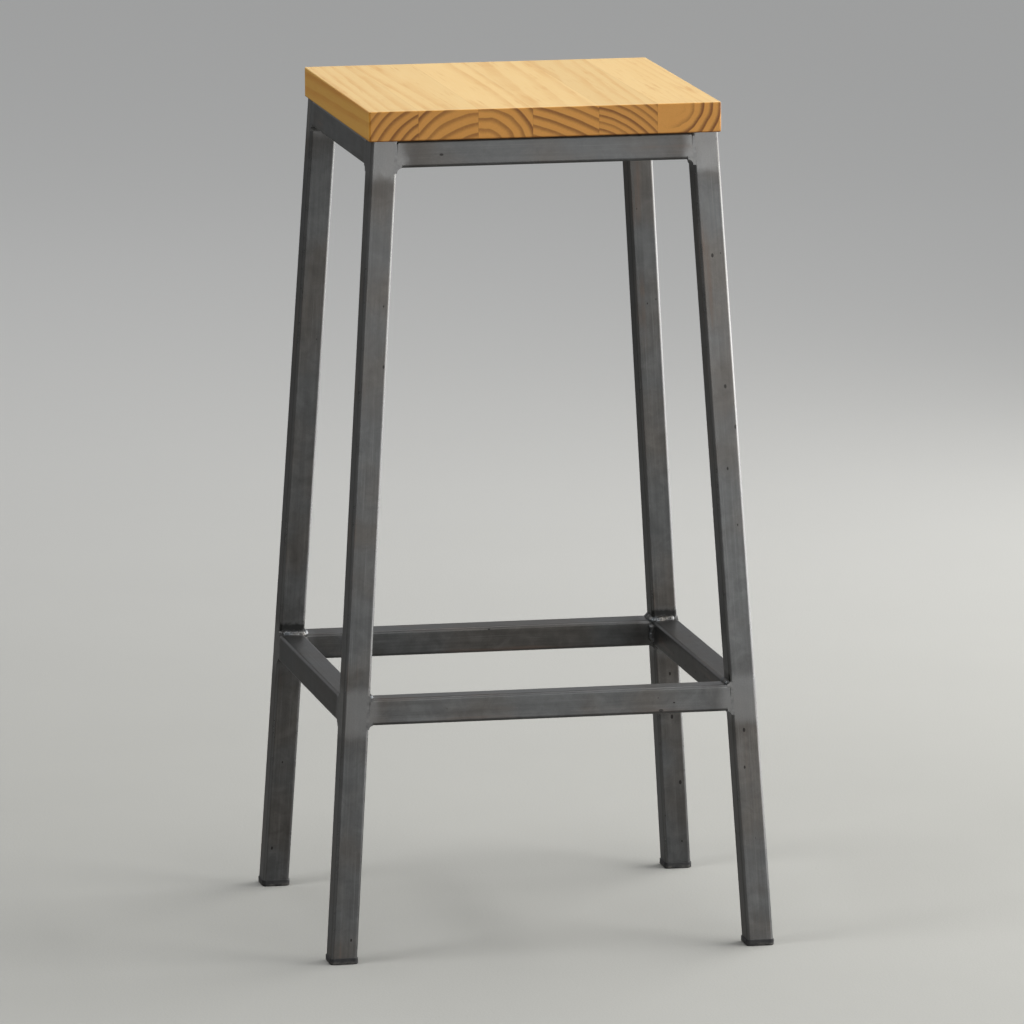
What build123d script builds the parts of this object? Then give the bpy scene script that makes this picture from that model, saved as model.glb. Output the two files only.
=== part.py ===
from build123d import *
import os
from math import atan, cos, sin, sqrt

# Bar stool: a glued-up pine seat on a welded frame of square steel tube, with a footrest
# ring and four plastic foot caps.  Millimetres, +Z up, the front faces -Y and +X is to the
# right.  The origin is on the floor, under the middle of the seat.

# ---------------------------------------------------------------- driving dimensions
overall_height = 790.0

seat_side = 330.0
seat_thickness = 28.0
seat_corner_radius = 2.0        # the four upright edges
seat_edge_radius = 1.2          # top and bottom edges, eased with sandpaper
stave_widths = (46.0, 56.0, 51.0, 62.0, 55.0, 60.0)     # left to right, they add up to seat_side

tube_side = 25.0
tube_wall = 2.0
tube_radius = 3.0               # outer corner of the tube
tube_bore_radius = 1.0          # corner inside the tube

frame_top_half = 162.5          # outside of the frame from the middle, under the seat
foot_half_x = 210.0             # the same at the floor, to the sides
foot_half_y = 191.5             # and to the front and back
footrest_top = 247.0            # height of the footrest rails' upper side

cap_height = 6.0                # what shows of a foot cap, under the tube
cap_overhang = 0.9              # how far a cap stands out past the tube
cap_edge = 1.0
plug_length = 18.0
plug_side = 16.0
plug_wall = 2.0
plug_fins = 3
plug_fin_side = 20.8
plug_fin_thickness = 1.2
plug_fin_radius = 1.4

plate_thickness = 4.0           # corner plates that carry the seat
plate_leg = 66.0
plate_clip = 8.0                # cut off a plate's square corner, clear of the frame's weld
plate_tuck = 1.0                # reach of a plate over the rails' rounded edges
screw_inset = 26.5              # screw from the two inner faces of the frame
screw_diameter = 5.0
screw_length = 25.0
screw_head_diameter = 9.5
screw_head_height = 3.0
screw_recess_length = 4.6
screw_recess_width = 1.0
screw_recess_depth = 1.6
plate_hole_diameter = 5.6
pilot_hole_diameter = 5.2
pilot_hole_depth = 22.0

weld_top_size = 5.0             # fillets under the top rails
weld_foot_size = 3.6            # fillets under the footrest rails
weld_tread_size = 2.6           # fillets on top of the footrest rails
weld_corner_size = 4.5          # upright fillets inside the four corners
weld_plate_size = 3.0
weld_plate_length = 22.0
weld_plate_place = 30.0         # middle of a plate's weld from the frame's inner corner
weld_sunk = 1.0                 # overlap that is cut away where a fillet meets flat faces
weld_hollow = 0.28              # how far a fillet's face dips, as a share of its size
weld_reach = tube_radius + 0.3  # depth to which weld fills the tubes' rounded corners

# ---------------------------------------------------------------- sizes worked out
frame_height = overall_height - seat_thickness
lean_x = atan((foot_half_x - frame_top_half) / frame_height)     # the side faces' lean
lean_y = atan((foot_half_y - frame_top_half) / frame_height)     # the front and back faces' lean
leg_size_x = tube_side / cos(lean_x)                             # a leg's level section
leg_size_y = tube_side / cos(lean_y)
leg_names = {
    "front_left": (-1, -1),
    "front_right": (1, -1),
    "back_left": (-1, 1),
    "back_right": (1, 1),
}


def half_x(z):
    """Outside of the frame to the left and right, from the middle, at height z."""
    return foot_half_x + (frame_top_half - foot_half_x) * z / frame_height


def half_y(z):
    """Outside of the frame to the front and back, from the middle, at height z."""
    return foot_half_y + (frame_top_half - foot_half_y) * z / frame_height


# ---------------------------------------------------------------- legs
def leg_centre(side_x, side_y, z):
    """Middle of a leg's level section at height z."""
    x = side_x * (half_x(z) - leg_size_x / 2)
    y = side_y * (half_y(z) - leg_size_y / 2)
    return Vector(x, y, z)


def inner_corner(side_x, side_y, z):
    """Corner of a leg that faces the middle of the stool, at height z."""
    return Vector(side_x * (half_x(z) - leg_size_x), side_y * (half_y(z) - leg_size_y), z)


def along_leg(section, place, side_x, side_y, z_low, z_high):
    """A level section carried up a leaning leg.  place gives its origin at a height."""
    start = place(side_x, side_y, z_low)
    rise = place(side_x, side_y, z_high) - start
    return extrude(Plane(start) * section, amount=rise.length, dir=rise.normalized())


def leg_envelope(side_x, side_y):
    """The outer shape of a leg, filled."""
    section = RectangleRounded(leg_size_x, leg_size_y, tube_radius)
    return along_leg(section, leg_centre, side_x, side_y, cap_height, frame_height)


def leg(side_x, side_y):
    bore = RectangleRounded(leg_size_x - 2 * tube_wall, leg_size_y - 2 * tube_wall, tube_bore_radius)
    hollow = along_leg(bore, leg_centre, side_x, side_y, cap_height, frame_height)
    return leg_envelope(side_x, side_y) - hollow


# ---------------------------------------------------------------- rails
def space_between_legs(half, leg_size, plane):
    """The space from one leg's inner face to the other's, across the whole stool."""
    low = half(0) - leg_size
    high = half(frame_height) - leg_size
    outline = Polygon(
        (-low, 0), (low, 0), (high, frame_height), (-high, frame_height), align=None
    )
    return extrude(plane * outline, amount=seat_side, both=True)


class Rail:
    """A rail between two legs, turned with them so that its outer face is flush with theirs.

    along is the rail's direction, out points out of the stool through the rail's outer face,
    and up is square to both.
    """

    def __init__(self, side, top, runs_along_x):
        lean = lean_y if runs_along_x else lean_x
        level_out = Vector(0, side, 0) if runs_along_x else Vector(side, 0, 0)
        half = half_y if runs_along_x else half_x
        self.runs_along_x = runs_along_x
        self.along = Vector(1, 0, 0) if runs_along_x else Vector(0, 1, 0)
        self.out = level_out * cos(lean) + Vector(0, 0, sin(lean))
        self.up = level_out * -sin(lean) + Vector(0, 0, cos(lean))
        flat = tube_side / 2 - tube_radius
        centre_z = top - flat * (cos(lean) + sin(lean)) - tube_radius
        face_z = centre_z + tube_side / 2 * sin(lean)
        face = level_out * half(face_z) + Vector(0, 0, face_z)
        self.centre = face - self.out * (tube_side / 2)

    def run(self, section):
        plane = Plane(origin=self.centre, x_dir=self.out, z_dir=self.along)
        blank = extrude(plane * section, amount=seat_side, both=True)
        if self.runs_along_x:
            return blank & space_between_legs(half_x, leg_size_x, Plane.XZ)
        return blank & space_between_legs(half_y, leg_size_y, Plane.YZ)

    def envelope(self):
        return self.run(RectangleRounded(tube_side, tube_side, tube_radius))

    def tube(self):
        bore_side = tube_side - 2 * tube_wall
        bore = RectangleRounded(bore_side, bore_side, tube_bore_radius)
        return self.run(RectangleRounded(tube_side, tube_side, tube_radius) - bore)


def rails_at(top):
    return {
        "front": Rail(-1, top, True),
        "back": Rail(1, top, True),
        "left": Rail(-1, top, False),
        "right": Rail(1, top, False),
    }


def rails_of_leg(side_x, side_y, rails):
    """The two rails that meet a leg."""
    front_or_back = rails["front"] if side_y < 0 else rails["back"]
    left_or_right = rails["left"] if side_x < 0 else rails["right"]
    return front_or_back, left_or_right


# ---------------------------------------------------------------- welds
def fillet_section(size, sunk):
    """A weld fillet's section in the corner of two faces, sunk into both of them or not at all."""
    dip = size * (0.5 - weld_hollow / sqrt(2))
    if sunk:
        sides = Polyline((0, size), (-sunk, size), (-sunk, -sunk), (size, -sunk), (size, 0))
    else:
        sides = Polyline((0, size), (0, 0), (size, 0))
    hollow = ThreePointArc((size, 0), (dip, dip), (0, size))
    return make_face(sides + hollow)


def joint_corner(rail, side_x, side_y, up_or_down):
    """Where a rail's upper or lower face meets the leg's inner face, at the rail's middle."""
    on_face = rail.centre + rail.up * (up_or_down * tube_side / 2)
    inner = inner_corner(side_x, side_y, on_face.Z)
    if rail.runs_along_x:
        return Vector(inner.X, on_face.Y, on_face.Z), Vector(-side_x, 0, 0)
    return Vector(on_face.X, inner.Y, on_face.Z), Vector(0, -side_y, 0)


def fillet_at(rail, side_x, side_y, up_or_down, size):
    corner, inward = joint_corner(rail, side_x, side_y, up_or_down)
    away = rail.up * up_or_down
    plane = Plane(origin=corner, x_dir=inward, z_dir=inward.cross(away))
    section = fillet_section(size, weld_reach)
    return extrude(plane * section, amount=tube_side / 2, both=True)


def groove_fill(rail, side_x, side_y):
    """Weld in the leg's rounded corners, beside the end of the rail."""
    below, inward = joint_corner(rail, side_x, side_y, -1)
    above, inward = joint_corner(rail, side_x, side_y, 1)
    middle = (below + above) * 0.5 - inward * (weld_reach / 2)
    plane = Plane(origin=middle, x_dir=inward, z_dir=rail.out)
    section = Rectangle(weld_reach, tube_side - 2 * tube_radius)
    return extrude(plane * section, amount=tube_side / 2, both=True)


def corner_fillet(rail, side_x, side_y):
    """The upright fillet inside the stool, where the two rails meet at the leg."""
    section = fillet_section(weld_corner_size, 0)
    if side_x > 0:
        section = section.mirror(Plane.YZ)
    if side_y > 0:
        section = section.mirror(Plane.XZ)
    reach = tube_side / 2 - tube_radius
    low = rail.centre.Z - reach
    high = rail.centre.Z + reach
    return along_leg(section, inner_corner, side_x, side_y, low, high)


def weld(side_x, side_y, rails, under_size, over_size=None):
    """The weld metal where two rails meet a leg: a collar round the joint, and the corner."""
    pair = rails_of_leg(side_x, side_y, rails)
    collar = Part()
    for rail in pair:
        collar += groove_fill(rail, side_x, side_y)
        collar += fillet_at(rail, side_x, side_y, -1, under_size)
        if over_size:
            collar += fillet_at(rail, side_x, side_y, 1, over_size)
    collar -= leg_envelope(side_x, side_y)
    for rail in pair:
        collar -= rail.envelope()
    corner = corner_fillet(pair[0], side_x, side_y)
    return Compound(children=[*collar.solids(), *corner.solids()])


# ---------------------------------------------------------------- seat
def seat_slab():
    slab = Pos(0, 0, frame_height + seat_thickness / 2) * Box(seat_side, seat_side, seat_thickness)
    slab = fillet(slab.edges().filter_by(Axis.Z), seat_corner_radius)
    level_edges = slab.faces().sort_by(Axis.Z)[0].edges() + slab.faces().sort_by(Axis.Z)[-1].edges()
    slab = fillet(level_edges, seat_edge_radius)
    hole_height = frame_height + pilot_hole_depth / 2
    for x, y in screw_places():
        slab -= Pos(x, y, hole_height) * Cylinder(pilot_hole_diameter / 2, pilot_hole_depth)
    return slab


def seat_staves(slab):
    """The slab cut along its glue joints, left to right."""
    staves = []
    left = -seat_side / 2
    for width in stave_widths:
        middle = left + width / 2
        cutter = Pos(middle, 0, overall_height - seat_thickness / 2) * Box(
            width, 2 * seat_side, 2 * seat_thickness
        )
        staves.append(slab & cutter)
        left += width
    return staves


def screw_places():
    """Plan positions of the seat screws, one in each corner plate."""
    x = half_x(frame_height) - leg_size_x - screw_inset
    y = half_y(frame_height) - leg_size_y - screw_inset
    return [(side_x * x, side_y * y) for side_x, side_y in leg_names.values()]


def corner_plate(side_x, side_y, rails):
    """A flat plate across a corner of the frame, level with its top."""
    corner = inner_corner(side_x, side_y, frame_height)
    level = frame_height - plate_thickness
    far_x = corner.X - side_x * plate_leg
    far_y = corner.Y - side_y * plate_leg
    edge_x = corner.X + side_x * plate_tuck
    edge_y = corner.Y + side_y * plate_tuck
    clip_x = corner.X - side_x * plate_clip
    clip_y = corner.Y - side_y * plate_clip
    outline = Polygon((edge_x, clip_y), (clip_x, edge_y), (far_x, edge_y), (edge_x, far_y), align=None)
    plate = extrude(Plane((0, 0, level)) * outline, amount=plate_thickness, dir=(0, 0, 1))
    for rail in rails_of_leg(side_x, side_y, rails):
        plate -= rail.envelope()
    plate -= leg_envelope(side_x, side_y)
    hole_x = corner.X - side_x * screw_inset
    hole_y = corner.Y - side_y * screw_inset
    hole = Cylinder(plate_hole_diameter / 2, 4 * plate_thickness)
    return plate - Pos(hole_x, hole_y, level) * hole


def plate_welds(side_x, side_y, rails, plate):
    """Two short fillets under a corner plate, one to each rail."""
    level = frame_height - plate_thickness
    corner = inner_corner(side_x, side_y, level)
    down = Vector(0, 0, -1)
    beads = []
    for rail in rails_of_leg(side_x, side_y, rails):
        if rail.runs_along_x:
            place = Vector(corner.X - side_x * weld_plate_place, corner.Y, level)
            inward = Vector(0, -side_y, 0)
        else:
            place = Vector(corner.X, corner.Y - side_y * weld_plate_place, level)
            inward = Vector(-side_x, 0, 0)
        plane = Plane(origin=place, x_dir=inward, z_dir=inward.cross(down))
        section = fillet_section(weld_plate_size, weld_sunk)
        bead = extrude(plane * section, amount=weld_plate_length / 2, both=True)
        beads.append(bead - plate - rail.envelope())
    return beads


def seat_screw(x, y):
    """A pan-head wood screw, driven up through a corner plate."""
    under_head = frame_height - plate_thickness
    shank = Pos(0, 0, screw_length / 2) * Cylinder(screw_diameter / 2, screw_length)
    shank = chamfer(shank.edges().group_by(Axis.Z)[-1], screw_diameter * 0.35)
    head = Pos(0, 0, -screw_head_height / 2) * Cylinder(screw_head_diameter / 2, screw_head_height)
    head = fillet(head.edges().group_by(Axis.Z)[0], screw_head_height * 0.6)
    recess_place = Pos(0, 0, screw_recess_depth / 2 - screw_head_height)
    slot = Box(screw_recess_length, screw_recess_width, screw_recess_depth)
    cross = Box(screw_recess_width, screw_recess_length, screw_recess_depth)
    screw = shank + head - recess_place * slot - recess_place * cross
    return Pos(x, y, under_head) * screw


# ---------------------------------------------------------------- foot caps
def foot_cap(side_x, side_y):
    """A plastic cap: a pad under the tube and a hollow finned plug inside it."""
    centre = leg_centre(side_x, side_y, cap_height)
    pad_x = leg_size_x + 2 * cap_overhang
    pad_y = leg_size_y + 2 * cap_overhang
    outline = RectangleRounded(pad_x, pad_y, tube_radius + cap_overhang)
    cap = extrude(Plane((centre.X, centre.Y, 0)) * outline, amount=cap_height, dir=(0, 0, 1))
    cap = chamfer(cap.edges().group_by(Axis.Z)[0], cap_edge)
    cap = fillet(cap.edges().group_by(Axis.Z)[-1], cap_edge / 2)
    top = cap_height + plug_length
    plug = Rectangle(plug_side, plug_side) - Rectangle(plug_side - 2 * plug_wall, plug_side - 2 * plug_wall)
    cap += along_leg(plug, leg_centre, side_x, side_y, cap_height, top)
    fin = RectangleRounded(plug_fin_side, plug_fin_side, plug_fin_radius) - Rectangle(plug_side, plug_side)
    fin_step = plug_length / (plug_fins + 1)
    for number in range(plug_fins):
        z = cap_height + fin_step * (number + 1)
        cap += along_leg(fin, leg_centre, side_x, side_y, z, z + plug_fin_thickness)
    return cap


# ---------------------------------------------------------------- the nodes
def all_nodes():
    nodes = {}
    for number, stave in enumerate(seat_staves(seat_slab()), start=1):
        nodes[f"seat_stave_{number}"] = stave

    top_rails = rails_at(frame_height)
    foot_rails = rails_at(footrest_top)
    for name, rail in top_rails.items():
        nodes[f"top_rail_{name}"] = rail.tube()
    for name, rail in foot_rails.items():
        nodes[f"footrest_rail_{name}"] = rail.tube()

    beads = []
    for name, sides in leg_names.items():
        nodes[f"leg_{name}"] = leg(*sides)
        nodes[f"foot_cap_{name}"] = foot_cap(*sides)
        plate = corner_plate(*sides, top_rails)
        nodes[f"corner_plate_{name}"] = plate
        beads += plate_welds(*sides, top_rails, plate)
        nodes[f"weld_top_{name}"] = weld(*sides, top_rails, weld_top_size)
        nodes[f"weld_footrest_{name}"] = weld(*sides, foot_rails, weld_foot_size, weld_tread_size)
    nodes["weld_corner_plates"] = Compound(children=beads)
    nodes["seat_screws"] = Compound(children=[seat_screw(x, y) for x, y in screw_places()])
    return nodes


os.makedirs("parts", exist_ok=True)
for node_name, shape in all_nodes().items():
    export_step(shape, f"parts/{node_name}.step")
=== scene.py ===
import math

import bmesh
import bpy
from mathutils import Matrix, Vector, noise


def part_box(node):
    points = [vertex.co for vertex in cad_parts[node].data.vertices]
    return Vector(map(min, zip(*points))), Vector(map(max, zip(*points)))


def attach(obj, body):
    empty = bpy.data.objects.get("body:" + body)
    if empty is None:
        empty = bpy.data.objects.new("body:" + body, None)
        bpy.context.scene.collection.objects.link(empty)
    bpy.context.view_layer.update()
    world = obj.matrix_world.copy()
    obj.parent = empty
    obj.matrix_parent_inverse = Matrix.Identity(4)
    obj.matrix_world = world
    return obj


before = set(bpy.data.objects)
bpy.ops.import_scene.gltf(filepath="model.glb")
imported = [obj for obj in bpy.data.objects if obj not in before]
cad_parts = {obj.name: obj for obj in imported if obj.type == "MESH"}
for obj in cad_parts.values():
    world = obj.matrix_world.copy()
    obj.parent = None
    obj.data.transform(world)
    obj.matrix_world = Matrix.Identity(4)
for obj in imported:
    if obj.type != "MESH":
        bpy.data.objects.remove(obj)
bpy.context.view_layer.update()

# Bar stool: the looks of a pine seat on a welded frame of raw steel tube.  Metres, +Z up,
# the front faces -Y.  Textures are laid out in millimetres.

# ---------------------------------------------------------------- sizes from the frame
tube_side = 0.025
stave_count = 6
legs = {
    "front_left": (-1, -1),
    "front_right": (1, -1),
    "back_left": (-1, 1),
    "back_right": (1, 1),
}
rail_sides = {"front": -1, "back": 1, "left": -1, "right": 1}
seat_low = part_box("seat_stave_1")[0]
foot_rail_low = min(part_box(f"footrest_rail_{side}")[0].z for side in rail_sides)
foot_rail_high = max(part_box(f"footrest_rail_{side}")[1].z for side in rail_sides)
top_rail_low = min(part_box(f"top_rail_{side}")[0].z for side in rail_sides)
frame_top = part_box("leg_front_left")[1].z

# weld beads
bead_pitch = 0.0017             # from one ripple to the next
bead_ripple = 0.00022
bead_step = 0.00028
bead_sides = 14
bead_power = 1.7                # 2 would give a quarter of a circle, 1 a flat fillet
bead_sink = 0.0003              # how far a bead's root is sunk into the steel
bead_grain = 0.00012            # fine roughness over the ripples
bead_overrun = 0.0015           # past the rail's inner face
bead_shy = 0.0030               # short of the rail's outer face, or of its top
tread_bead = 0.0042             # on top of the footrest rails
corner_bead = 0.0048            # upright, inside the corners
plate_bead = 0.0033
plate_weld_place = 0.030        # middle of a plate's weld from the frame's inner corner
plate_weld_length = 0.022

# painted light and shade: the shade of each tube, chosen so that the render matches the photograph in this
# light, darkens tubes that lay in shade and lightens lit ones
leg_painted_light = {"front_left": 0.87, "front_right": 0.93, "back_left": 0.77, "back_right": 0.77}
rail_painted_light = {
    "top_rail_front": 0.79,
    "top_rail_back": 0.90,
    "top_rail_left": 1.12,
    "top_rail_right": 0.90,
    "footrest_rail_front": 0.88,
    "footrest_rail_back": 0.74,
    "footrest_rail_left": 0.52,
    "footrest_rail_right": 0.50,
}

# camera, as the photograph was taken
camera_place = Vector((-1.859, -9.2007, 2.0214))
camera_yaw = math.radians(11.427)
camera_pitch = math.radians(-9.890)
camera_roll = math.radians(-0.148)
camera_lens = 356.5
camera_sensor = 36.0


# ---------------------------------------------------------------- node graphs
class Graph:
    """A material's node tree.  Each method adds a node and returns its output."""

    def __init__(self, name):
        self.material = bpy.data.materials.new(name)
        self.material.use_nodes = True
        self.tree = self.material.node_tree
        self.tree.nodes.clear()
        place = self.tree.nodes.new("ShaderNodeTexCoord").outputs["Object"]
        self.millimetres = self.vector("SCALE", place, scale=1000)
        self.x, self.y, self.z = self.parts(self.millimetres)

    def put(self, socket, value):
        if isinstance(value, bpy.types.NodeSocket):
            self.tree.links.new(value, socket)
        else:
            socket.default_value = value

    def math(self, operation, *values, clamp=False):
        node = self.tree.nodes.new("ShaderNodeMath")
        node.operation = operation
        node.use_clamp = clamp
        for socket, value in zip(node.inputs, values):
            self.put(socket, value)
        return node.outputs[0]

    def vector(self, operation, *values, scale=None):
        node = self.tree.nodes.new("ShaderNodeVectorMath")
        node.operation = operation
        for socket, value in zip(node.inputs, values):
            self.put(socket, value)
        if scale is not None:
            self.put(node.inputs["Scale"], scale)
        return node.outputs["Value"] if operation == "DOT_PRODUCT" else node.outputs["Vector"]

    def parts(self, vector):
        node = self.tree.nodes.new("ShaderNodeSeparateXYZ")
        self.put(node.inputs[0], vector)
        return node.outputs

    def combine(self, x, y, z):
        node = self.tree.nodes.new("ShaderNodeCombineXYZ")
        for socket, value in zip(node.inputs, (x, y, z)):
            self.put(socket, value)
        return node.outputs[0]

    def noise(self, vector, size, detail=3.0, roughness=0.5, distortion=0.0):
        """Smooth noise from 0 to 1 whose patches are about size across."""
        node = self.tree.nodes.new("ShaderNodeTexNoise")
        self.put(node.inputs["Vector"], vector)
        node.inputs["Scale"].default_value = 1 / size
        node.inputs["Detail"].default_value = detail
        node.inputs["Roughness"].default_value = roughness
        node.inputs["Distortion"].default_value = distortion
        return node.outputs["Fac"]

    def cells(self, vector, size):
        """Distance from scattered points about size apart, and a random colour for each."""
        node = self.tree.nodes.new("ShaderNodeTexVoronoi")
        self.put(node.inputs["Vector"], vector)
        node.inputs["Scale"].default_value = 1 / size
        return node.outputs["Distance"], node.outputs["Color"]

    def hash(self, value):
        """One random number from 0 to 1 for each whole value."""
        node = self.tree.nodes.new("ShaderNodeTexWhiteNoise")
        node.noise_dimensions = "1D"
        self.put(node.inputs["W"], value)
        return node.outputs["Value"]

    def rise(self, value, low, high, to_low=0.0, to_high=1.0):
        """value from low to high becomes to_low to to_high, smoothly, and no further."""
        node = self.tree.nodes.new("ShaderNodeMapRange")
        node.interpolation_type = "SMOOTHSTEP"
        for socket, number in zip(node.inputs, (value, low, high, to_low, to_high)):
            self.put(socket, number)
        return node.outputs[0]

    def ramp(self, value, stops):
        node = self.tree.nodes.new("ShaderNodeValToRGB")
        elements = node.color_ramp.elements
        while len(elements) < len(stops):
            elements.new(0.5)
        for element, (place, colour) in zip(elements, stops):
            element.position = place
            element.color = (*colour, 1)
        self.put(node.inputs[0], value)
        return node.outputs[0]

    def mix(self, share, first, second, blend="MIX"):
        node = self.tree.nodes.new("ShaderNodeMix")
        node.data_type = "RGBA"
        node.blend_type = blend
        self.put(node.inputs["Factor"], share)
        for name, value in (("A", first), ("B", second)):
            socket = [s for s in node.inputs if s.name == name and s.type == "RGBA"][0]
            self.put(socket, (*value, 1) if isinstance(value, tuple) else value)
        return [s for s in node.outputs if s.type == "RGBA"][0]

    def normal(self):
        return self.tree.nodes.new("ShaderNodeNewGeometry").outputs["True Normal"]

    def bump(self, height, depth, under=None):
        """height from 0 to 1 raises the surface by up to depth millimetres."""
        node = self.tree.nodes.new("ShaderNodeBump")
        node.inputs["Strength"].default_value = 1.0
        node.inputs["Distance"].default_value = depth / 1000
        self.put(node.inputs["Height"], height)
        if under is not None:
            self.put(node.inputs["Normal"], under)
        return node.outputs[0]

    def finish(self, colour, roughness, normal=None, metallic=0.0, coat=0.0,
               coat_roughness=0.2, specular=0.5):
        shader = self.tree.nodes.new("ShaderNodeBsdfPrincipled")
        shader.inputs["Specular IOR Level"].default_value = specular
        self.put(shader.inputs["Base Color"], colour)
        self.put(shader.inputs["Roughness"], roughness)
        self.put(shader.inputs["Metallic"], metallic)
        shader.inputs["Coat Weight"].default_value = coat
        shader.inputs["Coat Roughness"].default_value = coat_roughness
        if normal is not None:
            self.put(shader.inputs["Normal"], normal)
        output = self.tree.nodes.new("ShaderNodeOutputMaterial")
        self.tree.links.new(shader.outputs[0], output.inputs["Surface"])
        return self.material


# ---------------------------------------------------------------- pine
darkest_season = 0.86           # a growth ring is darkest at this share of its year
first_year = 50                 # keeps the years' numbers above zero


class Stave:
    """How one stave was cut: its pith in the seat's frame, and its growth rings."""

    def __init__(self, pith, ring, dark_ring, drift, tone, figure=1.0, clear=0.0):
        self.pith = pith                # x and z of the pith at the front, mm
        self.ring = ring                # from one ring to the next, mm
        self.dark_ring = dark_ring      # radius of one dark ring, mm
        self.drift = drift              # how far the pith wanders per mm to the back
        self.tone = tone                # lighter or darker than the others
        self.figure = figure            # how strongly the rings show on the long grain
        self.clear = clear              # radius within which the rings are faint, mm


staves = [
    Stave((-75.0, 709.0), 8.2, 98.0, (0.022, 0.006), 0.97),
    Stave((-55.0, 711.5), 9.8, 66.0, (-0.014, 0.010), 1.00),
    Stave((-58.5, 750.6), 9.4, 31.0, (0.018, -0.012), 1.04),
    Stave((-53.0, 595.0), 8.6, 183.0, (-0.010, 0.016), 1.02),
    Stave((26.4, 691.0), 6.5, 94.0, (0.024, 0.004), 0.96),
    Stave((116.8, 790.0), 8.4, 31.0, (-0.012, 0.030), 1.02, 0.45, 24.0),
]


def pine(number, stave):
    g = Graph(f"pine_{number}")
    seed = 37.0 * number
    from_front = g.math("SUBTRACT", g.y, seat_low.y * 1000)
    wander = g.noise(g.combine(g.math("DIVIDE", g.x, 60), g.math("DIVIDE", g.y, 190), seed), 1.0)
    wander = g.math("MULTIPLY", g.math("SUBTRACT", wander, 0.5), 7.0)
    pith_x = g.math("ADD", g.math("MULTIPLY", from_front, stave.drift[0]), stave.pith[0])
    pith_z = g.math("ADD", g.math("MULTIPLY", from_front, stave.drift[1]), stave.pith[1])
    across = g.math("SUBTRACT", g.x, pith_x)
    over = g.math("ADD", g.math("SUBTRACT", g.z, pith_z), wander)
    radius = g.math("SQRT", g.math("ADD", g.math("POWER", across, 2), g.math("POWER", over, 2)))
    angle = g.math("ARCTAN2", over, across)
    waver = g.noise(g.combine(g.math("MULTIPLY", angle, 1.6), g.math("DIVIDE", radius, 26), seed), 1.0, 1)
    age = g.math("DIVIDE", g.math("SUBTRACT", radius, stave.dark_ring), stave.ring)
    age = g.math("ADD", age, g.math("MULTIPLY", g.math("SUBTRACT", waver, 0.5), 0.70))
    age = g.math("ADD", age, darkest_season + first_year)
    year = g.math("FLOOR", age)
    season = g.math("FRACT", age)
    late = g.rise(season, 0.34, 0.84)
    late = g.math("MULTIPLY", late, g.rise(season, 0.87, 1.0, 1.0, 0.0))
    vigour = g.math("ADD", g.math("MULTIPLY", g.hash(g.math("ADD", year, seed)), 0.5), 0.5)
    late = g.math("MULTIPLY", late, vigour)
    if stave.clear:  # faint rings round the pith and to the left of it
        late = g.math("MULTIPLY", late, g.rise(radius, 0.5 * stave.clear, 1.3 * stave.clear, 0.06, 1.0))
        late = g.math("MULTIPLY", late, g.rise(across, -4.0, 14.0, 0.10, 1.0))

    # long fibres, and pores in the end grain
    fibre_place = g.combine(g.x, g.math("DIVIDE", g.y, 45), g.z)
    fibre = g.noise(fibre_place, 1.1, 4, 0.6)
    broad = g.noise(g.combine(g.x, g.math("DIVIDE", g.y, 9), g.math("ADD", g.z, seed)), 16.0, 3)
    cloud = g.noise(g.vector("ADD", g.millimetres, (seed, 0, 0)), 55.0, 3)
    facing = g.parts(g.normal())
    end = g.rise(g.math("ABSOLUTE", facing[1]), 0.45, 0.8)
    flank = g.rise(g.math("ABSOLUTE", facing[0]), 0.45, 0.8)

    long_early = (0.88, 0.605, 0.250)
    long_late = (0.70, 0.36, 0.085)
    end_early = (0.64, 0.295, 0.055)
    end_late = (0.190, 0.060, 0.007)
    tone = tuple(stave.tone * c for c in long_early)
    figure = g.math("ADD", g.math("MULTIPLY", cloud, 0.85 * stave.figure), 0.06)
    figure = g.math("ADD", figure, g.math("MULTIPLY", flank, 0.30))
    long_share = g.math("MULTIPLY", late, figure)
    fibre_swing = g.math("MULTIPLY", g.math("SUBTRACT", fibre, 0.5), 0.32)
    long_share = g.math("ADD", long_share, fibre_swing, clamp=True)
    long_grain = g.mix(long_share, tone, long_late)
    wisp = g.noise(g.combine(g.x, g.math("DIVIDE", g.y, 26), g.math("ADD", g.z, seed)), 3.4, 4, 0.6)
    wisp = g.math("MULTIPLY", g.rise(wisp, 0.54, 0.70), g.rise(cloud, 0.40, 0.60))
    long_grain = g.mix(g.math("MULTIPLY", wisp, 0.60), long_grain, (0.70, 0.37, 0.10))
    end_share = g.math("ADD", late, g.math("MULTIPLY", g.math("SUBTRACT", fibre, 0.5), 0.40), clamp=True)
    end_tone = tuple(stave.tone * c for c in end_early)
    end_grain = g.mix(end_share, end_tone, end_late)
    colour = g.mix(end, long_grain, end_grain)

    # painted shade: the seat's sides are tinted darker than its top, the left one as in the photograph,
    # and the right one, which it doesn't show, so that the window light doesn't burn it out
    colour = g.mix(g.math("MULTIPLY", flank, 0.75), colour, (0.95, 0.80, 0.50), "MULTIPLY")
    left_side_shade = g.rise(facing[0], -0.8, -0.45, 0.8, 0.0)
    colour = g.mix(left_side_shade, colour, (0.92, 0.78, 0.36), "MULTIPLY")
    right_side_shade = g.rise(facing[0], 0.45, 0.8, 0.0, 0.8)
    colour = g.mix(right_side_shade, colour, (0.74, 0.60, 0.50), "MULTIPLY")
    colour = g.mix(g.rise(broad, 0.35, 0.75, 0.0, 0.25), colour, (0.93, 0.84, 0.70), "MULTIPLY")
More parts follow.
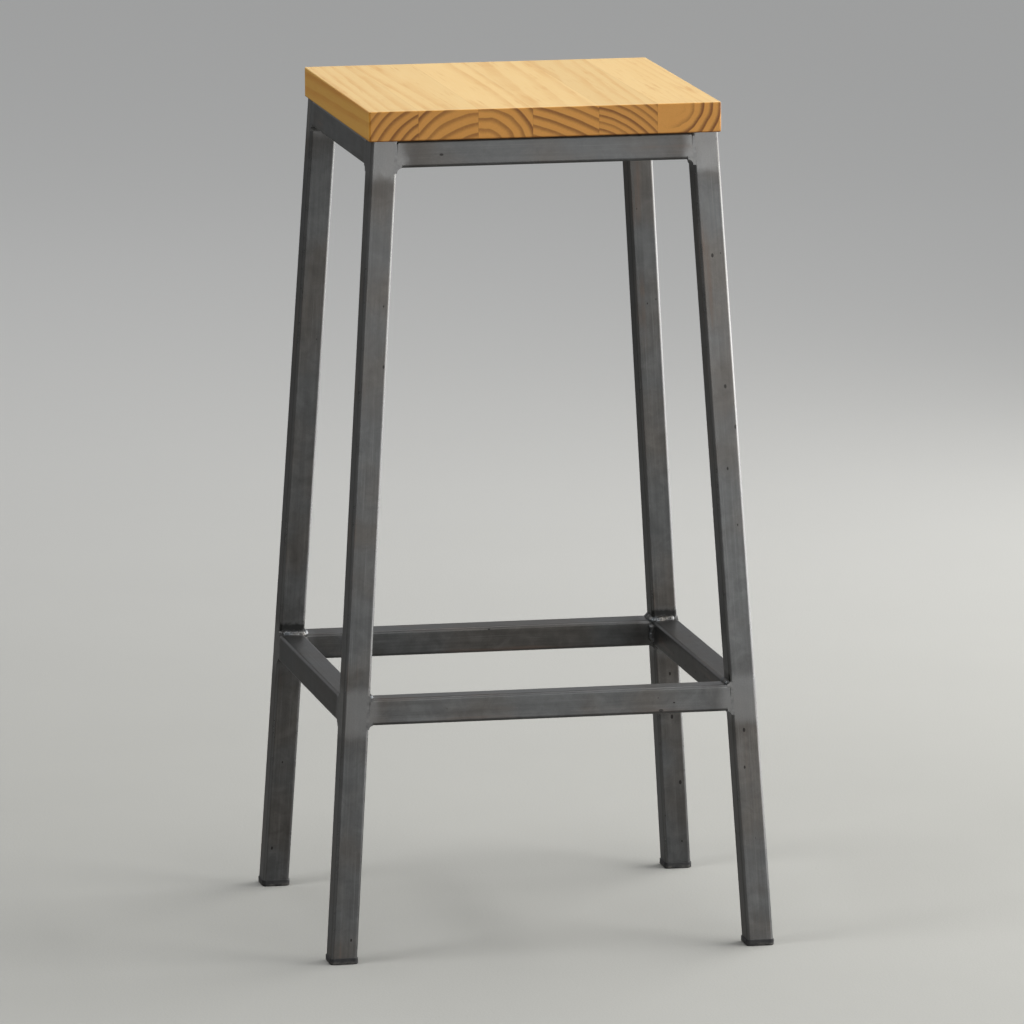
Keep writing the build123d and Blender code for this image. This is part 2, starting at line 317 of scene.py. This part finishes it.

    # glue lines at the stave's sides, and painted shade along the seat's lower edge
    low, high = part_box(f"seat_stave_{number}")
    inset = 0.25
    lines = []
    if number > 1:
        lines.append(g.rise(g.x, low.x * 1000, low.x * 1000 + inset, 1.0, 0.0))
    if number < stave_count:
        lines.append(g.rise(g.x, high.x * 1000 - inset, high.x * 1000, 0.0, 1.0))
    for line in lines:
        colour = g.mix(g.math("MULTIPLY", line, 0.45), colour, (0.42, 0.26, 0.12), "MULTIPLY")
    # painted shade: the bottom 2 mm of every stave is darkened, a shadow line under the seat
    lower_edge_shade = g.rise(g.z, seat_low.z * 1000 + 0.2, seat_low.z * 1000 + 1.8, 0.75, 0.0)
    colour = g.mix(lower_edge_shade, colour, (0.28, 0.17, 0.10), "MULTIPLY")

    rough = g.math("ADD", g.math("MULTIPLY", fibre, 0.16), g.math("MULTIPLY", end, 0.12))
    rough = g.math("ADD", rough, 0.34)
    height = g.math("ADD", g.math("MULTIPLY", fibre, 0.5), g.math("MULTIPLY", late, 0.5))
    normal = g.bump(height, 0.05)
    return g.finish(colour, rough, normal, coat=0.10, coat_roughness=0.18, specular=0.28)


# ---------------------------------------------------------------- steel
def steel(name, along, seed, joint_distance, bright=1.0, rubbed_and_highlit=1.0, soot=None):
    """Mill scale drawn out along the tube.  joint_distance(g) is in mm from the nearest weld.

    bright scales the tube's colour, painted light and shade that make it lighter or darker as the light
    fell on it; the next argument sets how bright its rounded edges are painted, partly rubbed wear and
    partly a painted highlight; soot(g) is the share of soot on it.
    """
    g = Graph(name)
    place = g.vector("ADD", g.millimetres, (seed * 13.7, seed * 7.1, seed * 3.3))
    direction = tuple(along)
    run = g.vector("DOT_PRODUCT", place, direction)
    short = g.vector("SCALE", direction, scale=g.math("MULTIPLY", run, -0.965))
    drawn = g.vector("ADD", place, short)

    mottle = g.noise(place, 15.0, 6, 0.62, 0.6)
    cloud = g.noise(place, 75.0, 3, 0.5)
    streak = g.noise(drawn, 2.6, 4, 0.55)
    broad_streak = g.noise(drawn, 9.0, 3, 0.5)
    grit = g.noise(place, 1.3, 3, 0.7)
    level = g.math("MULTIPLY", mottle, 0.42)
    level = g.math("ADD", level, g.math("MULTIPLY", streak, 0.26))
    level = g.math("ADD", level, g.math("MULTIPLY", broad_streak, 0.20))
    level = g.math("ADD", level, g.math("MULTIPLY", grit, 0.12))
    # painted light and shade: bright makes the whole tube lighter or darker as the light fell on it
    dark = tuple(bright * c for c in (0.096, 0.096, 0.094))
    middle = tuple(bright * c for c in (0.142, 0.142, 0.140))
    light = tuple(bright * c for c in (0.205, 0.205, 0.202))
    colour = g.ramp(level, [(0.32, dark), (0.50, middle), (0.68, light)])
    colour = g.mix(g.rise(cloud, 0.40, 0.66, 0.0, 0.55), colour, (0.90, 0.80, 0.70), "MULTIPLY")
    colour = g.mix(g.rise(cloud, 0.60, 0.34, 0.0, 0.40), colour, (0.92, 0.97, 1.0), "MULTIPLY")

    # rust that has bled along the tube
    stain = g.noise(g.vector("ADD", drawn, (91.0, 17.0, 5.0)), 11.0, 4, 0.6)
    stain = g.math("MULTIPLY", g.rise(stain, 0.56, 0.72), g.rise(cloud, 0.42, 0.60))
    colour = g.mix(g.math("MULTIPLY", stain, 0.60), colour, (0.135, 0.086, 0.060))

    # pits in the scale
    shortened = g.vector("SCALE", direction, scale=g.math("MULTIPLY", run, -0.4))
    spot, chance = g.cells(g.vector("ADD", place, shortened), 8.0)
    size = g.rise(g.parts(chance)[0], 0.50, 1.0, 0.0, 0.20)
    pit_edge = g.math("MULTIPLY", size, g.rise(cloud, 0.40, 0.56))
    pit = g.rise(g.math("SUBTRACT", spot, pit_edge), -0.03, 0.0, 1.0, 0.0)
    colour = g.mix(g.math("MULTIPLY", pit, 0.85), colour, (0.018, 0.016, 0.015))

    # fine marks from drawing the tube
    further = g.vector("SCALE", direction, scale=g.math("MULTIPLY", run, -0.992))
    mark = g.noise(g.vector("ADD", place, further), 0.9, 2, 0.5)
    mark = g.rise(mark, 0.62, 0.72)
    colour = g.mix(g.math("MULTIPLY", mark, 0.22), colour, (0.26, 0.26, 0.255))

    # the rounded edges are painted brighter, partly rubbed wear and partly a painted highlight, except
    # beside a weld
    facing = [g.math("ABSOLUTE", value) for value in g.parts(g.normal())]
    across = [facing[axis] for axis in range(3) if axis != max(range(3), key=lambda a: abs(along[a]))]
    corner = g.rise(g.math("MINIMUM", *across), 0.16, 0.55)
    corner = g.math("MULTIPLY", corner, g.rise(broad_streak, 0.30, 0.50, 0.65, 1.0))
    far = joint_distance(g)
    corner = g.math("MULTIPLY", corner, g.rise(far, 0.0, 8.0))
    colour = g.mix(g.math("MULTIPLY", corner, 0.85 * rubbed_and_highlit), colour, (0.24, 0.24, 0.237))

    # heat by the welds: scale burnt off and ground bright, then a dark ring round it
    far = g.math("ADD", far, g.math("MULTIPLY", g.math("SUBTRACT", mottle, 0.5), 16.0))
    ground = g.rise(far, 2.0, 15.0, 1.0, 0.0)
    burnt = g.math("MULTIPLY", g.rise(far, 4.0, 14.0), g.rise(far, 16.0, 40.0, 1.0, 0.0))
    colour = g.mix(g.math("MULTIPLY", burnt, 0.36), colour, (0.62, 0.58, 0.55), "MULTIPLY")
    sanded = g.noise(g.combine(g.x, g.math("DIVIDE", g.y, 12), g.math("MULTIPLY", g.z, 1.6)), 0.9, 3, 0.6)
    clean = g.ramp(sanded, [(0.30, (0.165, 0.165, 0.162)), (0.72, (0.250, 0.250, 0.246))])
    colour = g.mix(g.math("MULTIPLY", ground, 0.62), colour, clean)
    if soot:
        colour = g.mix(g.math("MULTIPLY", soot(g), 0.88), colour, (0.014, 0.014, 0.013))

    rough = g.math("ADD", g.math("MULTIPLY", mottle, 0.20), g.math("MULTIPLY", streak, 0.10))
    rough = g.math("ADD", rough, 0.30)
    rough = g.math("SUBTRACT", rough, g.math("MULTIPLY", ground, 0.06))
    rough = g.math("SUBTRACT", rough, g.math("MULTIPLY", corner, 0.16 * rubbed_and_highlit))
    height = g.math("ADD", g.math("MULTIPLY", grit, 0.35), g.math("MULTIPLY", streak, 0.30))
    height = g.math("SUBTRACT", height, g.math("MULTIPLY", pit, 1.0))
    normal = g.bump(height, 0.035)
    normal = g.bump(mottle, 0.10, normal)
    metal = g.math("SUBTRACT", 0.92, g.math("MULTIPLY", stain, 0.45))
    return g.finish(colour, rough, normal, metal, coat=0.12, coat_roughness=0.30)


def from_levels(*levels):
    """Distance up or down from level bands, each given by its lower and upper height in mm."""
    def distance(g):
        nearest = None
        for low, high in levels:
            middle = (low + high) / 2
            off = g.math("SUBTRACT", g.math("ABSOLUTE", g.math("SUBTRACT", g.z, middle)), (high - low) / 2)
            nearest = off if nearest is None else g.math("MINIMUM", nearest, off)
        return nearest
    return distance


def from_ends(axis, reach):
    """Distance from both ends of a rail that reaches from -reach to reach, in mm."""
    def distance(g):
        value = (g.x, g.y, g.z)[axis]
        return g.math("SUBTRACT", reach, g.math("ABSOLUTE", value))
    return distance


def soot_over(level, side_x, side_y):
    """A sooty band on a leg's inner faces, just above the beads on the footrest rails."""
    def band(g):
        facing = g.parts(g.normal())
        inward_x = g.math("MULTIPLY", facing[0], -side_x)
        inward = g.math("MAXIMUM", inward_x, g.math("MULTIPLY", facing[1], -side_y))
        ragged = g.math("MULTIPLY", g.math("SUBTRACT", g.noise(g.millimetres, 5.0, 4, 0.6), 0.5), 8.0)
        over = g.math("ADD", g.math("SUBTRACT", g.z, level), ragged)
        near = g.rise(g.math("ABSOLUTE", over), 1.5, 6.5, 1.0, 0.0)
        return g.math("MULTIPLY", g.rise(inward, 0.5, 0.8), near)
    return band


def weld_metal(name, seed, raw):
    """Weld metal: raw, with the colours that heat leaves, or ground smooth."""
    g = Graph(name)
    place = g.vector("ADD", g.millimetres, (seed * 5.3, seed * 2.9, seed))
    mottle = g.noise(place, 4.0, 5, 0.6)
    tint = g.noise(place, 9.0, 3, 0.5, 0.8)
    if raw:
        colour = g.ramp(mottle, [(0.30, (0.060, 0.060, 0.059)), (0.70, (0.270, 0.272, 0.272))])
        straw, grey, blue = (1.0, 0.90, 0.76), (0.94, 0.97, 1.0), (0.66, 0.82, 0.98)
        heat = g.ramp(tint, [(0.32, straw), (0.50, grey), (0.66, blue)])
        colour = g.mix(0.55, colour, heat, "MULTIPLY")
        soot = g.noise(place, 6.0, 2, 0.5)
        colour = g.mix(g.rise(soot, 0.50, 0.68, 0.0, 0.75), colour, (0.045, 0.043, 0.040))
        rough = g.math("ADD", g.math("MULTIPLY", mottle, 0.30), 0.24)
        normal = g.bump(mottle, 0.12)
    else:
        colour = g.ramp(mottle, [(0.30, (0.120, 0.120, 0.117)), (0.70, (0.205, 0.204, 0.200))])
        rough = g.math("ADD", g.math("MULTIPLY", mottle, 0.22), 0.28)
        normal = g.bump(mottle, 0.07)
    return g.finish(colour, rough, normal, 0.95, coat=0.10, coat_roughness=0.30)


def plate_steel():
    g = Graph("plate_steel")
    mottle = g.noise(g.millimetres, 9.0, 6, 0.6)
    grit = g.noise(g.millimetres, 1.0, 3, 0.7)
    colour = g.ramp(mottle, [(0.30, (0.085, 0.084, 0.085)), (0.70, (0.200, 0.196, 0.190))])
    rust = g.noise(g.vector("ADD", g.millimetres, (40.0, 0.0, 9.0)), 22.0, 5, 0.6)
    colour = g.mix(g.rise(rust, 0.56, 0.70, 0.0, 0.6), colour, (0.20, 0.10, 0.05))
    rough = g.math("ADD", g.math("MULTIPLY", grit, 0.3), 0.34)
    return g.finish(colour, rough, g.bump(grit, 0.05), 0.85)


def cap_plastic():
    g = Graph("cap_plastic")
    grain = g.noise(g.millimetres, 0.55, 4, 0.6)
    wear = g.noise(g.millimetres, 6.0, 5, 0.65)
    colour = g.ramp(wear, [(0.35, (0.012, 0.012, 0.013)), (0.75, (0.034, 0.034, 0.034))])
    dust = g.math("MULTIPLY", g.rise(g.z, 0.4, 4.5, 1.0, 0.0), g.rise(wear, 0.40, 0.62))
    colour = g.mix(g.math("MULTIPLY", dust, 0.55), colour, (0.16, 0.15, 0.13))
    scuff = g.noise(g.combine(g.math("DIVIDE", g.x, 8), g.math("DIVIDE", g.y, 8), g.z), 0.5, 2, 0.5)
    scuff = g.rise(scuff, 0.66, 0.72)
    colour = g.mix(g.math("MULTIPLY", scuff, 0.3), colour, (0.10, 0.10, 0.10))
    rough = g.math("ADD", g.math("MULTIPLY", wear, 0.25), 0.42)
    height = g.math("ADD", g.math("MULTIPLY", grain, 0.6), g.math("MULTIPLY", scuff, -0.4))
    return g.finish(colour, rough, g.bump(height, 0.04))


def zinc():
    g = Graph("zinc")
    mottle = g.noise(g.millimetres, 1.6, 4, 0.6)
    colour = g.ramp(mottle, [(0.30, (0.42, 0.41, 0.37)), (0.70, (0.66, 0.66, 0.64))])
    rough = g.math("ADD", g.math("MULTIPLY", mottle, 0.25), 0.20)
    return g.finish(colour, rough, g.bump(mottle, 0.02), 1.0)


def paint(node, material):
    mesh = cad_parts[node].data
    mesh.materials.clear()
    mesh.materials.append(material)


# ---------------------------------------------------------------- weld beads
def inner_corner(side_x, side_y, z):
    """The corner of a leg that faces the middle of the stool, at height z."""
    name = [key for key, sides in legs.items() if sides == (side_x, side_y)][0]
    low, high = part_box(f"leg_{name}")
    point = []
    for axis, side in ((0, side_x), (1, side_y)):
        outer_low = high[axis] if side > 0 else low[axis]
        inner_high = low[axis] if side > 0 else high[axis]
        lean = (outer_low - side * tube_side - inner_high) / (high.z - low.z)
        level_side = tube_side * math.sqrt(1 + lean * lean)
        inner_low = outer_low - side * level_side
        point.append(inner_low + (inner_high - inner_low) * (z - low.z) / (high.z - low.z))
    return Vector((*point, z))


def rail_section(kind, side):
    """Middle of a rail's section, its outward and its upward direction."""
    low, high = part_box(f"{kind}_rail_{side}")
    runs_along_x = side in ("front", "back")
    axis = 1 if runs_along_x else 0
    middle = (low + high) / 2
    middle[1 - axis] = 0
    climb = 0.1
    corner_high = inner_corner(1, 1, middle.z + climb)
    corner_low = inner_corner(1, 1, middle.z)
    lean = math.atan((corner_low[axis] - corner_high[axis]) / climb)
    level_out = Vector((0, 0, 0))
    level_out[axis] = rail_sides[side]
    out = level_out * math.cos(lean) + Vector((0, 0, math.sin(lean)))
    up = level_out * -math.sin(lean) + Vector((0, 0, math.cos(lean)))
    return middle, out, up


def add_bead(form, start, end, first, second, size, seed):
    """A rippled weld bead from start to end, in the corner between two directions."""
    length = (end - start).length
    along = (end - start) / length
    first = (first - along * first.dot(along)).normalized()
    second = (second - along * second.dot(along)).normalized()
    steps = max(8, round(length / bead_step))
    rings = []
    for i in range(steps + 1):
        travel = length * i / steps
        to_end = min(travel, length - travel)
        blunt = min(1.0, to_end / size)
        swell = math.sqrt(max(0.0, 1 - (1 - blunt) ** 2))
        slow = noise.noise(Vector((travel * 260, seed * 3.1, 0.0)))
        weave = noise.noise(Vector((travel * 420, seed * 5.7, 9.0)))
        radius = size * swell * (1 + 0.10 * slow)
        centre = start + along * travel - (first + second) * bead_sink
        ring = [form.verts.new(centre)]
        for j in range(bead_sides + 1):
            turn = math.pi / 2 * j / bead_sides
            bow = (2 * j / bead_sides - 1) ** 2
            phase = (travel + 0.45 * size * bow + 0.0004 * weave) / bead_pitch
            crest = abs(math.sin(math.pi * phase)) ** 0.7
            edge = math.sin(math.pi * j / bead_sides) ** 0.5
            c, s = math.cos(turn), math.sin(turn)
            reach = radius / (c ** bead_power + s ** bead_power) ** (1 / bead_power)
            reach += swell * bead_ripple * (crest - 0.6) * edge * 1.6
            reach += bead_grain * swell * noise.noise(Vector((travel * 900, j * 0.5, seed)))
            ring.append(form.verts.new(centre + (first * c + second * s) * max(reach, 1e-5)))
        rings.append(ring)
    count = bead_sides + 2
    for one, two in zip(rings, rings[1:]):
        for j in range(count):
            k = (j + 1) % count
            form.faces.new((one[j], one[k], two[k], two[j]))
    form.faces.new(tuple(reversed(rings[0])))
    form.faces.new(tuple(rings[-1]))


def finish_beads(form, name, material):
    bmesh.ops.recalc_face_normals(form, faces=form.faces)
    mesh = bpy.data.meshes.new(name)
    form.to_mesh(mesh)
    form.free()
    for face in mesh.polygons:
        face.use_smooth = True
    piece = bpy.data.objects.new(name, mesh)
    bpy.context.scene.collection.objects.link(piece)
    mesh.materials.append(material)
    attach(piece, "root")
    return piece


def footrest_beads(name, side_x, side_y, seed):
    """Beads on top of the two footrest rails, and the upright one in their corner."""
    form = bmesh.new()
    long_side = "front" if side_y < 0 else "back"
    cross_side = "left" if side_x < 0 else "right"
    pair = ((long_side, 0, side_x), (cross_side, 1, side_y))
    leg_rise = (inner_corner(side_x, side_y, 1.0) - inner_corner(side_x, side_y, 0.0)).normalized()
    for number, (side, axis, leg_side) in enumerate(pair):
        middle, out, up = rail_section("footrest", side)
        ends = []
        for sideways in (-tube_side / 2 - bead_overrun, tube_side / 2 - bead_shy):
            point = middle + up * (tube_side / 2) + out * sideways
            point[axis] = inner_corner(side_x, side_y, point.z)[axis]
            ends.append(point)
        away = Vector((0, 0, 0))
        away[axis] = -leg_side
        add_bead(form, ends[0], ends[1], away, leg_rise, tread_bead, seed + number)
    low = inner_corner(side_x, side_y, foot_rail_low + 0.0035)
    high = inner_corner(side_x, side_y, foot_rail_high - bead_shy)
    add_bead(form, low, high, Vector((-side_x, 0, 0)), Vector((0, -side_y, 0)), corner_bead, seed + 5)
    return finish_beads(form, f"bead_footrest_{name}", weld_metal(f"raw_weld_{name}", seed, True))


def top_beads(name, side_x, side_y, seed):
    """The upright bead inside a corner of the top frame."""
    form = bmesh.new()
    low = inner_corner(side_x, side_y, top_rail_low + 0.0035)
    high = inner_corner(side_x, side_y, frame_top - 0.0025)
    add_bead(form, low, high, Vector((-side_x, 0, 0)), Vector((0, -side_y, 0)), corner_bead, seed + 3)
    return finish_beads(form, f"bead_top_{name}", weld_metal(f"raw_weld_top_{name}", seed + 3, True))


def plate_beads():
    """Two short beads under each corner plate."""
    form = bmesh.new()
    down = Vector((0, 0, -1))
    for seed, (name, (side_x, side_y)) in enumerate(legs.items()):
        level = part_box(f"corner_plate_{name}")[0].z
        corner = inner_corner(side_x, side_y, level)
        for axis, side in ((0, side_x), (1, side_y)):
            middle = corner.copy()
            middle[axis] -= side * plate_weld_place
            along = Vector((0, 0, 0))
            along[axis] = plate_weld_length / 2
            inward = Vector((0, 0, 0))
            inward[1 - axis] = -(side_y if axis == 0 else side_x)
            add_bead(form, middle - along, middle + along, inward, down, plate_bead, 20 + 2 * seed + axis)
    return finish_beads(form, "beads_corner_plates", weld_metal("raw_weld_plates", 4, True))


# ---------------------------------------------------------------- the stool
def dress_seat():
    for number, stave in enumerate(staves, start=1):
        paint(f"seat_stave_{number}", pine(number, stave))


def dress_frame():
    foot_band = (foot_rail_low * 1000, foot_rail_high * 1000)
    top_band = (top_rail_low * 1000, frame_top * 1000)
    for seed, (name, (side_x, side_y)) in enumerate(legs.items(), start=1):
        rise = (inner_corner(side_x, side_y, 1.0) - inner_corner(side_x, side_y, 0.0)).normalized()
        bands = from_levels(foot_band, top_band)
        soot = soot_over(foot_rail_high * 1000 + 6.0, side_x, side_y)
        # painted light and shade: each leg's colour is made lighter or darker as the light fell on it
        paint(f"leg_{name}", steel(f"steel_leg_{name}", rise, seed, bands, leg_painted_light[name], soot=soot))
    for number, side in enumerate(rail_sides, start=5):
        axis = 0 if side in ("front", "back") else 1
        along = Vector((1, 0, 0)) if axis == 0 else Vector((0, 1, 0))
        for kind in ("top", "footrest"):
            node = f"{kind}_rail_{side}"
            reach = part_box(node)[1][axis] * 1000
            seed = number + (4 if kind == "top" else 0)
            # painted light and shade: each rail's colour is made lighter or darker as the light fell on
            # it, and its painted edge highlight is weaker than the legs'
            tone = rail_painted_light[node]
            paint(node, steel(f"steel_{node}", along, seed, from_ends(axis, reach), tone, rubbed_and_highlit=0.35))
    for seed, name in enumerate(legs):
        paint(f"weld_top_{name}", weld_metal(f"ground_weld_top_{name}", seed + 0.5, False))
        paint(f"weld_footrest_{name}", weld_metal(f"ground_weld_foot_{name}", seed + 7.5, False))
    paint("weld_corner_plates", weld_metal("ground_weld_plates", 12.5, False))


def dress_small_parts():
    plate = plate_steel()
    cap = cap_plastic()
    for name in legs:
        paint(f"corner_plate_{name}", plate)
        paint(f"foot_cap_{name}", cap)
    paint("seat_screws", zinc())


def add_beads():
    for seed, (name, (side_x, side_y)) in enumerate(legs.items(), start=1):
        footrest_beads(name, side_x, side_y, 10 * seed)
        top_beads(name, side_x, side_y, 10 * seed + 6)
    plate_beads()


# ---------------------------------------------------------------- studio
def add_floor():
    g = Graph("floor")
    cloud = g.noise(g.millimetres, 420.0, 4, 0.5)
    grain = g.noise(g.millimetres, 3.0, 3, 0.6)
    colour = g.ramp(cloud, [(0.30, (0.450, 0.450, 0.426)), (0.70, (0.465, 0.465, 0.440))])

    # paler far behind the stool, and darker to reflections and bounced light than to the camera
    colour = g.mix(g.rise(g.y, 300.0, 4500.0), colour, (0.92, 0.92, 0.90))
    seen = g.tree.nodes.new("ShaderNodeLightPath").outputs["Is Camera Ray"]
    colour = g.mix(seen, (0.19, 0.19, 0.183), colour)
    material = g.finish(colour, 0.85, g.bump(grain, 0.25), specular=0.0)
    form = bmesh.new()
    bmesh.ops.create_grid(form, x_segments=4, y_segments=4, size=12.0)
    mesh = bpy.data.meshes.new("floor")
    form.to_mesh(mesh)
    form.free()
    mesh.materials.append(material)
    floor = bpy.data.objects.new("floor", mesh)
    bpy.context.scene.collection.objects.link(floor)


def add_light(name, place, target, width, height, power, colour=(1.0, 1.0, 1.0)):
    """A rectangle of light that faces target.  Metres and watts."""
    light = bpy.data.lights.new(name, "AREA")
    light.shape = "RECTANGLE"
    light.size = width
    light.size_y = height
    light.energy = power
    light.color = colour
    lamp = bpy.data.objects.new(name, light)
    lamp.location = place
    lamp.rotation_mode = "QUATERNION"
    lamp.rotation_quaternion = (Vector(target) - Vector(place)).to_track_quat("-Z", "Y")
    lamp.visible_camera = False
    bpy.context.scene.collection.objects.link(lamp)
    return lamp


def add_world():
    """Soft surroundings, brighter at the right than at the left, and plain grey to the camera."""
    world = bpy.data.worlds.new("studio")
    world.use_nodes = True
    tree = world.node_tree
    tree.nodes.clear()
    coord = tree.nodes.new("ShaderNodeTexCoord")
    parts = tree.nodes.new("ShaderNodeSeparateXYZ")
    tree.links.new(coord.outputs["Generated"], parts.inputs[0])
    sideways = tree.nodes.new("ShaderNodeMapRange")
    tree.links.new(parts.outputs[0], sideways.inputs["Value"])
    for socket, number in zip(sideways.inputs[1:5], (-1.0, 1.0, 0.19, 0.55)):
        socket.default_value = number
    lighting = tree.nodes.new("ShaderNodeBackground")
    lighting.inputs["Color"].default_value = (0.97, 0.98, 1.0, 1)
    tree.links.new(sideways.outputs[0], lighting.inputs["Strength"])
    plain = tree.nodes.new("ShaderNodeBackground")
    plain.inputs["Color"].default_value = (0.55, 0.56, 0.56, 1)
    path = tree.nodes.new("ShaderNodeLightPath")
    choose = tree.nodes.new("ShaderNodeMixShader")
    tree.links.new(path.outputs["Is Camera Ray"], choose.inputs[0])
    tree.links.new(lighting.outputs[0], choose.inputs[1])
    tree.links.new(plain.outputs[0], choose.inputs[2])
    output = tree.nodes.new("ShaderNodeOutputWorld")
    tree.links.new(choose.outputs[0], output.inputs["Surface"])
    bpy.context.scene.world = world


def add_lights():
    middle = (0.0, 0.0, 0.42)
    add_light("window", (1.85, 0.25, 1.28), (0.0, 0.25, 1.28), 3.9, 1.85, 76, (1.0, 0.985, 0.96))
    add_light("overhead", (0.35, 0.1, 2.9), (0.0, 0.0, 0.8), 1.8, 1.8, 17)
    add_light("fill", (1.1, -3.6, 0.85), middle, 1.8, 1.4, 22)
    add_light("side", (-1.9, -0.5, 2.5), (0.0, 0.0, 0.75), 1.2, 1.2, 23)

    # mirrored in the rounded edges of the lower legs, but not seen by diffuse surfaces
    glint = add_light("low_window", (0.85, 0.2, 0.28), (0.0, 0.2, 0.28), 2.6, 0.54, 9)
    glint.visible_diffuse = False


def add_camera():
    camera = bpy.data.objects.new("camera", bpy.data.cameras.new("camera"))
    camera.data.lens = camera_lens
    camera.data.sensor_width = camera_sensor
    camera.data.clip_end = 100
    level = Vector((math.sin(camera_yaw), math.cos(camera_yaw), 0))
    ahead = level * math.cos(camera_pitch) + Vector((0, 0, math.sin(camera_pitch)))
    right = Vector((math.cos(camera_yaw), -math.sin(camera_yaw), 0))
    up = right.cross(ahead)
    c, s = math.cos(camera_roll), math.sin(camera_roll)
    right, up = right * c + up * s, up * c - right * s
    turn = Matrix((right, up, -ahead)).transposed()
    camera.matrix_world = Matrix.Translation(camera_place) @ turn.to_4x4()
    bpy.context.scene.collection.objects.link(camera)
    bpy.context.scene.camera = camera


add_camera()
dress_seat()
dress_frame()
dress_small_parts()
add_beads()
add_floor()
add_world()
add_lights()
bpy.context.scene.view_settings.view_transform = "Standard"

bpy.context.view_layer.update()
